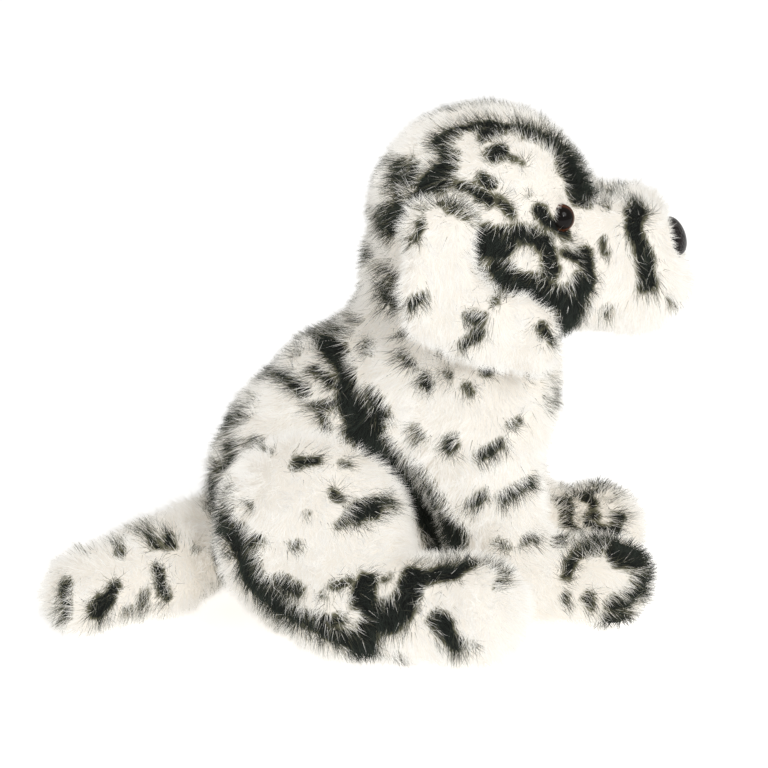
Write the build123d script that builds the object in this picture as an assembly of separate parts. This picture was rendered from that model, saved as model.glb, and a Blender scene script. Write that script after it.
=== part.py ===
from build123d import *
import math
import os

# A stuffed plush dog, sitting. The floor is z = 0, the dog faces -Y, and its left side is +X.
# The origin is on the floor, in the middle of the whole dog. Millimetres and degrees.
# Every body is a sewn cover with a stuffing inside it; the fur's loose tips stand outside the covers.

# Cloth, thread and the room left between sewn-on parts
COVER = 4.0                    # woven backing with the dense lower half of its pile
GAP = 0.4                      # room between two parts that turn past each other
THREAD = 0.7                   # radius of the sewing thread that shows
TOUCH = 0.05                   # how far a thread lies off the cover it is sewn to

# Head
SKULL = (0, -61, 214)
SKULL_RADIUS = 58
MUZZLE_BACK = (0, -100, 194)
MUZZLE_BACK_RADIUS = 34
MUZZLE_FRONT = (0, -131, 191)
MUZZLE_RADIUS = 33
CROWN_GUSSET_HALF_WIDTH = 20   # the strip from the nose over the crown to the nape

# Neck: the head turns and nods on a ball-shaped dome at the top of the torso
NECK = (0, -50, 168)
NECK_RADIUS = 50
NECK_WAD_RADIUS = 22

# Torso: a long egg that leans forward
RUMP = (0, 27, 57)
RUMP_RADIUS = 60
CHEST = (0, -45, 148)
CHEST_RADIUS = 52
BELLY_HALF_WIDTH = 22

# Front legs, left one; the leg swings forward about a line along X through the shoulder
SHOULDER_Y = -54
SHOULDER_Z = 118
SHOULDER_FACE = 30             # half-width of the chest between the legs
SHOULDER_RADIUS = 41
LEG_THICKNESS_RATIO = 0.75     # a leg is thinner across the dog than along it
ANKLE_Y = -72
ANKLE_Z = 30
ANKLE_RADIUS = 27
FRONT_SWING = 45
PAW_X = 37.5
PAW_HEEL_Y = -74
PAW_TOE_Y = -124
PAW_RADIUS = 24
PAW_SINK = 0.5                 # how far the round paw is pressed flat on the floor
FRONT_SEAM_X = 40

# Hind legs, left one; the leg lifts about a line along X through the hip
HIP_Y = 33
HIP_Z = 60
HIP_FACE = 40                  # half-width of the torso between the thighs
THIGH_RADIUS = 52
THIGH_OUTER_X = 92
FOOT_X = 91
FOOT_HEEL_Y = 14
FOOT_TOE_Y = -54
FOOT_RADIUS = 27
FOOT_SINK = 0.5
HIND_SEAM_X = 80

# Tail, lying on the floor and bending to the dog's right
TAIL_RADIUS = 20.5
TAIL_END_SWELL = 0.3           # the round ends are this much wider than the tail between them
TAIL_HEIGHT = 20               # its middle line; the tail is pressed a little flat on the floor
TAIL_ROOT = (0, 82, TAIL_HEIGHT)
TAIL_MIDDLE = (-28, 111, TAIL_HEIGHT)
TAIL_TIP = (-52, 147.8, TAIL_HEIGHT)
TAIL_SOCKET_DEPTH = 30         # length of the tail that the rump leaves room for
TAIL_WAG = (-65, 20)           # from its rest, towards the dog's left and right

# Ears, left one; a folded root on the side of the head and a flap that hangs from it
EAR_ROOT_X = 53
EAR_ROOT_Z = 241
EAR_ROOT_RADIUS = 5
EAR_ROOT_SLACK = 16            # the groove for the root runs on past its ends by this many gaps
EAR_SHOULDER_X = 64            # inner side of the flap where it turns down
EAR_HEM_X = 66                 # inner side of the flap at its lower edge
EAR_THICKNESS = 9
EAR_OUTLINE = [
    (-26, 250), (-57, 250), (-58, 216), (-67, 197), (-93, 188), (-96, 155), (-60, 158), (-27, 170),
]
EAR_CORNER = 8

# Safety eyes and nose, each a button with a shank and a locking washer
EYE_ASIDE = 44.5               # angle of an eye from straight ahead
EYE_UP = 12
EYE_RADIUS = 7.5
EYE_SINK = 1.5                 # the centre of the eye's ball lies this far inside the cover
NOSE_UP = 22
NOSE_SIZE = (12, 10.5, 6.2)    # half-width, half-height and how far it stands out
SHANK_RADIUS = 2
SHANK_LENGTH = 10
SHANK_ROOT = 1.5               # how far the shank runs into its dome
WASHER_RADIUS = 7
WASHER_THICKNESS = 1.2

# Mouth thread: a short line down from the nose and a curve to each side
MOUTH_TOP_ANGLE = 1
MOUTH_LOW_ANGLE = -24
MOUTH_SIDE_ANGLE = 38

# Bean bag in the rump, which keeps the dog sitting
POUCH = (0, 20, 25)
POUCH_RADIUS = 30
POUCH_FLATNESS = 0.55
POUCH_CLOTH = 1.0

# Ladder stitch that closes the back seam
STITCH_COUNT = 11
STITCH_PITCH = 5
STITCH_LENGTH = 4
STITCH_START = 30              # distance of the first stitch along the torso, from the rump's centre

BIG = 400                      # larger than the dog, for cutting boxes


def capsule(start, start_radius, end, end_radius):
    """A round-ended solid whose straight sides are tangent to both end balls."""
    start = Vector(*start)
    end = Vector(*end)
    length = (end - start).length
    slope = math.asin((start_radius - end_radius) / length)

    def ring(centre, radius, angle):
        return (radius * math.cos(angle), 0, centre + radius * math.sin(angle))

    low = ring(0, start_radius, -math.pi / 2)
    low_mid = ring(0, start_radius, (slope - math.pi / 2) / 2)
    low_side = ring(0, start_radius, slope)
    high_side = ring(length, end_radius, slope)
    high_mid = ring(length, end_radius, (slope + math.pi / 2) / 2)
    high = ring(length, end_radius, math.pi / 2)
    edges = [
        ThreePointArc(low, low_mid, low_side),
        Line(low_side, high_side),
        ThreePointArc(high_side, high_mid, high),
        Line(high, low),
    ]
    solid = revolve(Face(Wire(edges)), Axis.Z)
    return Plane(origin=start, z_dir=end - start) * solid


def ball(centre, radius):
    return Pos(*centre) * Sphere(radius)


def block(x_low, x_high, y_low=-BIG, y_high=BIG, z_low=-BIG, z_high=BIG):
    """A box between the given limits, for cutting."""
    size = (x_high - x_low, y_high - y_low, z_high - z_low)
    middle = ((x_low + x_high) / 2, (y_low + y_high) / 2, (z_low + z_high) / 2)
    return Pos(*middle) * Box(*size)


def above_floor(solid, height):
    return solid & block(-BIG, BIG, z_low=height, z_high=BIG)


def mirrored(solid):
    return mirror(solid, Plane.YZ)


def side_profile(face, inner_x):
    """A flat outline in the dog's side plane, pushed outwards from inner_x on the left."""
    return Pos(inner_x, 0, 0) * extrude(face, BIG, dir=(1, 0, 0))


def facing(centre, radius, aside, up):
    """The plane that touches a ball at the given angles from straight ahead."""
    aside = math.radians(aside)
    up = math.radians(up)
    out = Vector(math.sin(aside) * math.cos(up), -math.cos(aside) * math.cos(up), math.sin(up))
    across = Vector(math.cos(aside), math.sin(aside), 0)
    return Plane(origin=Vector(*centre) + out * radius, x_dir=across, z_dir=out)


# ---------------------------------------------------------------------------
# Torso
# ---------------------------------------------------------------------------
def shoulder_pocket(grow):
    """Room on the left of the chest for the front leg through its whole swing."""
    reach = BIG / 2
    width = SHOULDER_RADIUS + GAP + grow
    rest = math.atan2(ANKLE_Y - SHOULDER_Y, SHOULDER_Z - ANKLE_Z)

    def far(swing, offset, distance):
        angle = rest - math.radians(swing)
        down = (math.sin(angle), -math.cos(angle))
        across = (math.cos(angle), math.sin(angle))
        y = SHOULDER_Y + down[0] * distance + across[0] * offset
        z = SHOULDER_Z + down[1] * distance + across[1] * offset
        return (0, y, z)

    corners = [
        far(0, width, 0),
        far(0, width, reach),
        far(FRONT_SWING / 2, 0, 1.5 * reach),
        far(FRONT_SWING, -width, reach),
        far(FRONT_SWING, -width, 0),
    ]
    fan = Face(Wire.make_polygon(corners))
    disc = Plane(origin=(0, SHOULDER_Y, SHOULDER_Z), z_dir=(1, 0, 0)) * Circle(width)
    inner_x = SHOULDER_FACE - grow
    return side_profile(fan, inner_x) + side_profile(disc.face(), inner_x)


def tail_line():
    return ThreePointArc(TAIL_ROOT, TAIL_MIDDLE, TAIL_TIP)


def tail_socket(grow):
    """Room in the rump for the round root of the tail and for its wag to both sides."""
    radius = TAIL_RADIUS + TAIL_END_SWELL + grow
    reach = Vector(*TAIL_ROOT) + (tail_line() % 0) * TAIL_SOCKET_DEPTH
    start = capsule(TAIL_ROOT, radius, reach, radius)
    wag_line = Axis(TAIL_ROOT, (0, 0, 1))
    room = ball(TAIL_ROOT, radius)
    for angle in (*TAIL_WAG, sum(TAIL_WAG) / 2):
        room += start.rotate(wag_line, angle)
    return room


def torso_form(shrink):
    """The torso with its neck dome, leg pockets and tail socket, shrunk by the cover's thickness."""
    body = capsule(RUMP, RUMP_RADIUS - shrink, CHEST, CHEST_RADIUS - shrink)
    body += ball(NECK, NECK_RADIUS - shrink)
    shoulder = shoulder_pocket(shrink)
    hip = block(HIP_FACE - shrink, BIG, y_low=HIP_Y - THIGH_RADIUS - GAP - shrink, z_high=HIP_Z + THIGH_RADIUS)
    body -= shoulder
    body -= mirrored(shoulder)
    body -= hip
    body -= mirrored(hip)
    return above_floor(body - tail_socket(GAP + shrink), shrink)


def bean_bag():
    outer = Pos(*POUCH) * scale(Sphere(POUCH_RADIUS), (1, 1, POUCH_FLATNESS))
    inner_flatness = POUCH_FLATNESS - POUCH_CLOTH / POUCH_RADIUS
    pellets = Pos(*POUCH) * scale(Sphere(POUCH_RADIUS - POUCH_CLOTH), (1, 1, inner_flatness))
    return outer, outer - pellets, pellets


def belly_region():
    """The strip between the legs, on the front and under side of the torso."""
    lean = Vector(*CHEST) - Vector(*RUMP)
    plane = Plane(origin=Vector(*RUMP), x_dir=(1, 0, 0), z_dir=lean)
    front = plane * Pos(0, BIG / 2, 0) * Box(2 * BELLY_HALF_WIDTH, BIG, 2 * BIG)
    back = plane * Pos(0, -BIG / 2, 0) * Box(2 * BELLY_HALF_WIDTH, BIG, 2 * BIG)
    return front if front.center().Y < back.center().Y else back


def back_stitches():
    """A row of short threads across the seam, along the straight line of the back."""
    lean = Vector(*CHEST) - Vector(*RUMP)
    length = lean.length
    along = lean.normalized()
    out = Vector(0, along.Z, -along.Y)
    tilt = math.asin((RUMP_RADIUS - CHEST_RADIUS) / length)
    foot = Vector(*RUMP)
    stitches = []
    for index in range(STITCH_COUNT):
        distance = STITCH_START + index * STITCH_PITCH
        radius = (RUMP_RADIUS - distance * math.sin(tilt)) / math.cos(tilt) + THREAD + TOUCH
        middle = foot + along * distance + out * radius
        stitches.append(Plane(origin=middle, z_dir=(1, 0, 0)) * Cylinder(THREAD, STITCH_LENGTH))
    return Compound(children=stitches)


def torso_parts():
    outside = torso_form(0)
    inside = torso_form(COVER)
    cover = outside - inside
    belly = belly_region()
    sides = cover - belly
    pouch_space, pouch, pellets = bean_bag()
    return {
        "torso_side_left": sides & block(0, BIG),
        "torso_side_right": sides & block(-BIG, 0),
        "belly_panel": cover & belly,
        "torso_stuffing": inside - pouch_space - ball(NECK, NECK_WAD_RADIUS + GAP),
        "bean_pouch": pouch,
        "bean_pellets": pellets,
        "back_stitches": back_stitches(),
        "neck_stuffing": ball(NECK, NECK_WAD_RADIUS),
    }


# ---------------------------------------------------------------------------
# Head
# ---------------------------------------------------------------------------
def head_form(shrink):
    head = ball(SKULL, SKULL_RADIUS - shrink)
    head += capsule(MUZZLE_BACK, MUZZLE_BACK_RADIUS - shrink, MUZZLE_FRONT, MUZZLE_RADIUS - shrink)
    head -= ball(NECK, NECK_RADIUS + GAP + shrink)
    groove = ear_root(EAR_ROOT_RADIUS + GAP + shrink)
    return head - groove - mirrored(groove)


def button(plane, form, centre, radius_of_cover):
    """A safety eye or nose: the dome on its shank, the washer, and the room they take in the cover."""
    dome = plane * form - ball(centre, radius_of_cover)
    shank = plane * Pos(0, 0, SHANK_ROOT - SHANK_LENGTH / 2) * Cylinder(SHANK_RADIUS, SHANK_LENGTH)
    inner = radius_of_cover - COVER
    depth = COVER + inner - math.sqrt(inner ** 2 - WASHER_RADIUS ** 2) + TOUCH
    ring = Cylinder(WASHER_RADIUS, WASHER_THICKNESS) - Cylinder(SHANK_RADIUS + TOUCH, WASHER_THICKNESS)
    washer_place = plane * Pos(0, 0, -depth - WASHER_THICKNESS / 2)
    washer = washer_place * ring
    hole = plane * Cylinder(SHANK_RADIUS + TOUCH, 2 * (SHANK_LENGTH - SHANK_ROOT + TOUCH))
    room_depth = depth + WASHER_THICKNESS + TOUCH
    room = plane * Pos(0, 0, -room_depth / 2) * Cylinder(WASHER_RADIUS + TOUCH, room_depth)
    return dome + shank, washer, hole, room


def mouth_thread():
    """Thread that lies on the round front of the muzzle, below the nose."""
    centre = Vector(*MUZZLE_FRONT)
    reach = MUZZLE_RADIUS + THREAD + TOUCH
    top = math.radians(MOUTH_TOP_ANGLE)
    start = Plane(
        origin=centre + Vector(0, -math.cos(top), math.sin(top)) * reach,
        z_dir=(0, math.sin(top), math.cos(top)),
    )
    down = revolve(start * Circle(THREAD), Axis(centre, (1, 0, 0)), MOUTH_TOP_ANGLE - MOUTH_LOW_ANGLE)
    low = math.radians(MOUTH_LOW_ANGLE)
    corner = centre + Vector(0, -math.cos(low), math.sin(low)) * reach
    curve = revolve(
        Plane(origin=corner, z_dir=(1, 0, 0)) * Circle(THREAD),
        Axis(centre, (0, 0, 1)),
        MOUTH_SIDE_ANGLE,
    )
    knot_centre = centre + (corner - centre).normalized() * (reach + THREAD / 2)
    knot = ball(knot_centre, THREAD * 3 / 2)
    return down + knot + curve + mirrored(curve)


def head_parts():
    outside = head_form(0)
    inside = head_form(COVER)
    cover = outside - inside
    stuffing = inside
    eye_form = Pos(0, 0, -EYE_SINK) * Sphere(EYE_RADIUS)
    half_width, half_height, height = NOSE_SIZE
    nose_form = scale(Sphere(half_width), (1, half_height / half_width, height / half_width))
    parts = {}
    buttons = {
        "eye_left": (SKULL, SKULL_RADIUS, EYE_ASIDE, EYE_UP, eye_form),
        "eye_right": (SKULL, SKULL_RADIUS, -EYE_ASIDE, EYE_UP, eye_form),
        "nose": (MUZZLE_FRONT, MUZZLE_RADIUS, 0, NOSE_UP, nose_form),
    }
    for name, (centre, radius, aside, up, form) in buttons.items():
        plane = facing(centre, radius, aside, up)
        dome, washer, hole, room = button(plane, form, centre, radius)
        cover -= hole
        stuffing = stuffing - hole - room
        parts[name] = dome
        parts[name + "_washer"] = washer
    strip = block(-CROWN_GUSSET_HALF_WIDTH, CROWN_GUSSET_HALF_WIDTH)
    crown = strip & block(-BIG, BIG, z_low=MUZZLE_FRONT[2])
    chin = strip & block(-BIG, BIG, y_high=SKULL[1], z_high=MUZZLE_FRONT[2])
    sides = cover - crown - chin
    parts["crown_gusset"] = cover & crown
    parts["chin_panel"] = cover & chin
    parts["head_side_left"] = sides & block(0, BIG)
    parts["head_side_right"] = sides & block(-BIG, 0)
    parts["head_stuffing"] = stuffing
    parts["mouth_thread"] = mouth_thread()
    return parts


# ---------------------------------------------------------------------------
# Ears
# ---------------------------------------------------------------------------
def ear_root(radius):
    """The rolled upper edge of the left ear, along the line that it hinges on."""
    back = EAR_OUTLINE[0][0]
    front = EAR_OUTLINE[1][0]
    length = back - front + EAR_ROOT_SLACK * (radius - EAR_ROOT_RADIUS)
    middle = (EAR_ROOT_X, (back + front) / 2, EAR_ROOT_Z)
    return Plane(origin=middle, z_dir=(0, 1, 0)) * Cylinder(radius, length)


def ear_section(inner, outer):
    """The ear seen from the front, between two depths from its inner side."""
    turn = EAR_THICKNESS
    low = min(z for _, z in EAR_OUTLINE) - 1

    def edge(depth):
        return [
            (EAR_ROOT_X, EAR_ROOT_Z - EAR_ROOT_RADIUS + depth),
            (EAR_SHOULDER_X - turn / 2 + depth / 2, EAR_ROOT_Z - EAR_ROOT_RADIUS + depth),
            (EAR_SHOULDER_X + depth, EAR_ROOT_Z - EAR_ROOT_RADIUS - turn + depth / 2),
            (EAR_HEM_X + depth, low),
        ]

    points = edge(inner) + list(reversed(edge(outer)))
    corners = [(x, 0, z) for x, z in points]
    face = Face(Wire.make_polygon(corners))
    return Pos(0, BIG / 2, 0) * extrude(face, BIG, dir=(0, -1, 0))


def ear_parts():
    corners = [(0, y, z) for y, z in EAR_OUTLINE]
    outline = Face(Wire.make_polygon(corners))
    rounded = [vertex for vertex in outline.vertices() if vertex.Z < EAR_ROOT_Z]
    outline = outline.fillet_2d(EAR_CORNER, rounded)
    flap = side_profile(outline, 0)
    half = EAR_THICKNESS / 2
    root = ear_root(EAR_ROOT_RADIUS)
    upper = block(-BIG, BIG, z_low=EAR_ROOT_Z)
    lining = (ear_section(0, half) & flap) + (root - upper)
    outer = (ear_section(half, EAR_THICKNESS) & flap) + (root & upper)
    outer -= lining
    return {"ear_outer_left": outer, "ear_lining_left": lining}


# ---------------------------------------------------------------------------
# Legs and tail
# ---------------------------------------------------------------------------
def front_leg_form(shrink):
    upper = capsule(
        (0, SHOULDER_Y, SHOULDER_Z), SHOULDER_RADIUS - shrink,
        (0, ANKLE_Y, ANKLE_Z), ANKLE_RADIUS - shrink,
    )
    face = SHOULDER_FACE + GAP
    upper = Pos(face, 0, 0) * scale(upper, (LEG_THICKNESS_RATIO, 1, 1))
    upper &= block(face + shrink, BIG)
    height = PAW_RADIUS - PAW_SINK
    heel = (PAW_X, PAW_HEEL_Y, height)
    toe = (PAW_X, PAW_TOE_Y, height)
    paw = capsule(heel, PAW_RADIUS - shrink, toe, PAW_RADIUS - shrink)
    return above_floor(upper + paw, shrink)


def hind_leg_form(shrink):
    face = HIP_FACE + GAP
    depth = THIGH_OUTER_X - face
    ratio = (depth - shrink) / (THIGH_RADIUS - shrink)
    thigh = scale(Sphere(THIGH_RADIUS - shrink), (ratio, 1, 1))
    thigh = Pos(face, HIP_Y, HIP_Z) * thigh & block(face + shrink, BIG)
    height = FOOT_RADIUS - FOOT_SINK
    heel = (FOOT_X, FOOT_HEEL_Y, height)
    toe = (FOOT_X, FOOT_TOE_Y, height)
    foot = capsule(heel, FOOT_RADIUS - shrink, toe, FOOT_RADIUS - shrink)
    return above_floor(thigh + foot, shrink)


def leg_parts(name, form, seam_x):
    """The left leg's outer and inner panel, which meet at a seam, and its stuffing."""
    inside = form(COVER)
    cover = form(0) - inside
    return {
        name + "_outer_panel_left": cover & block(seam_x, BIG),
        name + "_inner_panel_left": cover & block(-BIG, seam_x),
        name + "_stuffing_left": inside,
    }


def tail_form(shrink):
    line = tail_line()
    radius = TAIL_RADIUS - shrink
    tail = sweep((line ^ 0) * Circle(radius), path=line)
    tail += ball(TAIL_ROOT, radius + TAIL_END_SWELL)
    tail += ball(TAIL_TIP, radius + TAIL_END_SWELL)
    return above_floor(tail, shrink)


def tail_parts():
    inside = tail_form(COVER)
    cover = tail_form(0) - inside
    seam = TAIL_HEIGHT
    return {
        "tail_upper_panel": cover & block(-BIG, BIG, z_low=seam),
        "tail_lower_panel": cover & block(-BIG, BIG, z_high=seam),
        "tail_stuffing": inside,
    }


def both_sides(left_parts):
    parts = dict(left_parts)
    for name, solid in left_parts.items():
        parts[name.replace("_left", "_right")] = mirrored(solid)
    return parts


def main():
    parts = {}
    parts.update(torso_parts())
    parts.update(head_parts())
    parts.update(both_sides(ear_parts()))
    parts.update(both_sides(leg_parts("front_leg", front_leg_form, FRONT_SEAM_X)))
    parts.update(both_sides(leg_parts("hind_leg", hind_leg_form, HIND_SEAM_X)))
    parts.update(tail_parts())
    os.makedirs("parts", exist_ok=True)
    for name, shape in parts.items():
        export_step(shape, f"parts/{name}.step")
        print(name, len(shape.solids()), round(shape.volume))


main()
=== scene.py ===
"""The looks of the plush dog: its fur, ears, eyes, nose and mouth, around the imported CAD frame.

Shapes are worked out in millimetres and become metres when a mesh is made. The dog faces -Y, and its left
side is where x is positive. Each cover is a closed skin, meshed from blended round shapes, and strands of fur
stand on it.
"""
import math

import bpy
import numpy as np
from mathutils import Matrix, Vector


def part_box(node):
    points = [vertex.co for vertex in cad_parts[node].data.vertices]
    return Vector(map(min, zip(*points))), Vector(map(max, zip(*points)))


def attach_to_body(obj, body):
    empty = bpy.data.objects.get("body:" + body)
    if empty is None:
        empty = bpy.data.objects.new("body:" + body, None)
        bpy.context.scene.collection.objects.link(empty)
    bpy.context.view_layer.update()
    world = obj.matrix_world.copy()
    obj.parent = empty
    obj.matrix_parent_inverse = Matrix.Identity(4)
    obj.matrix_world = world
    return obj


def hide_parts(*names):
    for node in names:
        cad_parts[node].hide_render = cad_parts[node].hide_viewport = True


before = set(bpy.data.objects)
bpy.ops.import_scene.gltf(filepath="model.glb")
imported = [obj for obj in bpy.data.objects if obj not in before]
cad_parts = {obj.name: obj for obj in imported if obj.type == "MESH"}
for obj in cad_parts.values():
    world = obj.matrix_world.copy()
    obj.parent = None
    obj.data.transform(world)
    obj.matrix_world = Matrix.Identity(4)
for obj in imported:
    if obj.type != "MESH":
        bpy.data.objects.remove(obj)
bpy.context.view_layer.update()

MM = 0.001                      # millimetres to metres

# Skins, in mm
SKIN_CELL = 3.0                 # size of the grid cells that the skins are meshed with
SKIN_LOWEST = 5.0               # the skins are flat at this height, where the dog rests on the fur under them

# Fur, in mm
STRAND_WIDTH = 0.32             # of a strand at its root
WIDTHS = (0.7, 1.25)            # of the thinnest and thickest strand, as shares of that
LENGTHS = (0.72, 1.12)          # of the shortest and longest strand, as shares of a piece's usual length
LEAN_SCATTER = 0.2              # radians
STRANDS_PER_MM2 = 1.35
STRANDS_PER_PIECE = 60000       # at most, in one mesh
ROOT_DEPTH = 0.6                # how far a strand's root is sunk into the skin
TIP_LOWEST = 0.6                # strands are pressed flat by the floor at this height
UNDER_HEIGHT = 7                # no fur grows on faces that point down below this height
BARE_SHARE = 0.53               # of the reach of an eye's or the nose's clipped fur that is bare
LOCKS = ((24, 0.75), (7, 0.65))  # the fur parts into locks about this wide, which lie aside by this share
LOCK_SCATTER = 0.35             # how much single strands lie aside

# Markings, in mm. They are laid out on a plane beside the dog that leans back by PATTERN_LEAN. A place on it
# is (y, h): y runs towards the tail, and h runs up the plane.
PATTERN_LEAN = math.radians(20)
FAR_SHIFT = (6, -4)             # the markings of the dog's left side lie this much further along the plane
MARK_SPREAD = 0.1               # how much further the markings reach than their lines and radii
MARK_BEND = 1.1                 # how far broad waves shift the markings
MARK_WOBBLE = 0.7               # how far fine waves shift them
FAR_BEND = 3.0                  # how much further broad waves shift those of the left side
MARK_FADE = 60                  # depth that a marking loses as its face turns away from the plane
SPOT_FADE = 30                  # depth that the other faces' spots lose as theirs turns towards it
FEATHER = 4.6                   # how far dark and light strands mix at a marking's edge
STRAY_SHARE = 0.12              # of the strands are out of place by about STRAY_REACH
STRAY_REACH = 2.5
SPOT_SPACING = 30               # between the spots of the faces that the plane doesn't show

# Eyes and nose, in mm and radians
EYE_RADIUS = 7.5
EYE_ASIDE = math.radians(78)    # the pupils point this far to the side and up
EYE_UP = math.radians(15)
EYE_SHORT = 13                  # the fur is clipped short this near to the middle of an eye
NOSE_SHORT = 21

# Camera: level with the dog's right side, looking down a little
CAMERA_ELEVATION = 20           # degrees
CAMERA_DISTANCE = 2.5           # metres
CAMERA_TARGET = (0, -0.0098, 0.1207)
CAMERA_FRAME = 0.407            # metres across the picture at the target
SENSOR_WIDTH = 36               # mm

# Lamps: name, place in metres, size in metres, power in watts
LAMPS = (
    ("key", (-0.9, -0.9, 1.3), 0.9, 11),
    ("fill", (-1.2, 0.9, 0.7), 1.2, 1.5),
    ("sparkle", (-1.1, -0.7, 1.0), 0.08, 2.5),
    ("top", (0.3, 0.2, 1.6), 1.2, 2),
)


# ---------------------------------------------------------------- shapes as distance fields, in mm

def ellipsoid(points, centre, radii):
    scaled = (points - np.array(centre)) / np.array(radii)
    reach = np.linalg.norm(scaled, axis=-1)
    slope = np.linalg.norm(scaled / np.array(radii), axis=-1)
    return reach * (reach - 1) / np.maximum(slope, 1e-6)


def capsule(points, start, end, start_radius, end_radius):
    start = np.array(start, float)
    axis = np.array(end, float) - start
    along = np.clip(((points - start) @ axis) / (axis @ axis), 0, 1)
    nearest = start + along[..., None] * axis
    return np.linalg.norm(points - nearest, axis=-1) - (start_radius + (end_radius - start_radius) * along)


def rounded_box(points, centre, half, rounding):
    beyond = np.abs(points - np.array(centre)) - (np.array(half) - rounding)
    outside = np.linalg.norm(np.maximum(beyond, 0), axis=-1)
    return outside + np.minimum(beyond.max(axis=-1), 0) - rounding


def melt(distances, width):
    """Joins shapes with a soft fillet about `width` mm wide."""
    joined = distances[0]
    for distance in distances[1:]:
        mix = np.clip(0.5 + 0.5 * (distance - joined) / width, 0, 1)
        joined = distance * (1 - mix) + joined * mix - width * mix * (1 - mix)
    return joined


def outline_distance(y, z, outline):
    """Distance from a closed outline in the YZ plane, negative inside it."""
    corners = np.array(outline, float)
    nearest = np.full(y.shape, 1e9)
    inside = np.zeros(y.shape, bool)
    for (ay, az), (by, bz) in zip(corners, np.roll(corners, -1, axis=0)):
        ey, ez = by - ay, bz - az
        along = np.clip(((y - ay) * ey + (z - az) * ez) / (ey * ey + ez * ez), 0, 1)
        nearest = np.minimum(nearest, np.hypot(y - ay - along * ey, z - az - along * ez))
        if az != bz:
            crosses = (az > z) != (bz > z)
            inside ^= crosses & (y < ey * (z - az) / ez + ay)
    return np.where(inside, -nearest, nearest)


def waves(points, size, seed):
    """Smooth noise, mostly between -1 and 1, with features about `size` mm apart."""
    draw = np.random.default_rng(seed)
    total = np.zeros(points.shape[:-1])
    count = 7
    for _ in range(count):
        direction = draw.normal(size=3)
        direction /= np.linalg.norm(direction)
        rate = 2 * math.pi / size * draw.uniform(0.6, 1.3)
        total += np.sin(points @ direction * rate + draw.uniform(0, 2 * math.pi))
    return total / math.sqrt(count / 2) * 0.6


def sided(points):
    """The same points with both sides of the dog folded on to its right side, where x is negative."""
    folded = points.copy()
    folded[..., 0] = -np.abs(folded[..., 0])
    return folded


def eye_ball():
    """The middle of the right eye's ball: it touches the eye's box on its outer, front and upper sides."""
    low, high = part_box("eye_right")
    return np.array([low[0] / MM + EYE_RADIUS, low[1] / MM + EYE_RADIUS, high[2] / MM - EYE_RADIUS])


def middle(node):
    low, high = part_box(node)
    return np.array([(a + b) / 2 / MM for a, b in zip(low, high)])


EYE = eye_ball()
NOSE = middle("nose")


def torso_field(points):
    folded = sided(points)
    body = melt([
        ellipsoid(points, (0, 22, 66), (53, 56, 55)),
        ellipsoid(points, (0, -8, 108), (47, 48, 49)),
        ellipsoid(points, (0, 18, 92), (46, 41, 41)),
        ellipsoid(points, (0, -26, 46), (32, 30, 38)),
        ellipsoid(points, (0, -56, 120), (32, 41, 48)),
        capsule(points, (0, -46, 150), (0, -48, 182), 46, 45),
        ellipsoid(folded, (-30, -44, 128), (24, 38, 36)),
    ], 16)
    return body - 1.8 + 1.2 * waves(points, 42, 1)


def head_field(points):
    folded = sided(points)
    skull = ellipsoid(points, (0, -61, 214), (56, 55, 55))
    cheek = ellipsoid(folded, (-34, -86, 190), (25, 30, 27))
    bridge = ellipsoid(points, (0, -112, 190), (33, 26, 31))
    muzzle = rounded_box(points, (0, -121.5, 193.5), (28, 35.5, 29), 15)
    flew = ellipsoid(folded, (-14, -140, 184), (18, 22, 24))
    lip = ellipsoid(folded, (-8, -154, 180), (11, 12, 11))
    chin = ellipsoid(points, (0, -134, 170), (17, 22, 12))
    temple = ellipsoid(folded, EYE + (2.5, 8.5, -1), (9, 8, 12))
    head = melt([melt([skull, cheek], 14), melt([muzzle, flew, lip, chin, bridge], 8)], 9)
    head = melt([head, temple], 5)
    return head - 1.5 + 0.8 * waves(points, 34, 2)


EAR_OUTLINE = [
    (-30, 234), (-24, 215), (-21, 195), (-25, 173), (-48, 163), (-64, 157), (-90, 153),
    (-96, 163), (-94, 180), (-84, 190), (-66, 192), (-54, 205), (-48, 227), (-40, 237),
]
EAR_HALF_THICKNESS = 6.0


def ear_plane(y, z):
    """How far out the ear's middle lies: over the skull at its root, and outside the shoulder at its hem."""
    root = 55 + 10 * np.clip((245 - z) / 30, 0, 1)
    curl = 5 * np.clip((-70 - y) / 25, 0, 1) * np.clip((200 - z) / 30, 0, 1)
    fold = 2.2 * np.sin((y + 0.4 * z) / 8.5) * np.clip((225 - z) / 40, 0, 1)
    return root + curl + fold


def ear_slab(points, half_thickness, inset):
    """One layer of the ear's cloth: its outline, `inset` mm nearer the head, rounded at its rim."""
    out = np.abs(points[..., 0]) - (ear_plane(points[..., 1], points[..., 2]) - inset)
    rim = outline_distance(points[..., 1], points[..., 2], EAR_OUTLINE) + half_thickness
    return np.hypot(np.maximum(rim, 0), out) - half_thickness


def ear_field(points):
    folded = sided(points)
    roll = capsule(folded, (-59, -31, 227), (-60, -44, 230), 9, 9)
    return melt([ear_slab(points, EAR_HALF_THICKNESS, 0), roll], 9) + 0.8 * waves(points, 22, 3) - 1


def ear_lining_field(points):
    return ear_slab(points, 3.2, 5)


def front_leg_field(points):
    folded = sided(points)
    limb = melt([
        ellipsoid(folded, (-38, -55, 120), (24, 38, 40)),
        capsule(folded, (-38, -58, 100), (-37.5, -73, 34), 26, 22),
    ], 20)
    paw = melt([
        capsule(folded, (-37.5, -80, 23), (-37.5, -126, 24), 19, 19),
        ellipsoid(folded, (-30, -128, 23), (12, 17, 17)),
        ellipsoid(folded, (-45, -128, 23), (12, 17, 17)),
    ], 8)
    return melt([limb, paw], 14) + 0.9 * waves(points, 30, 4) - 1.5


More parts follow.
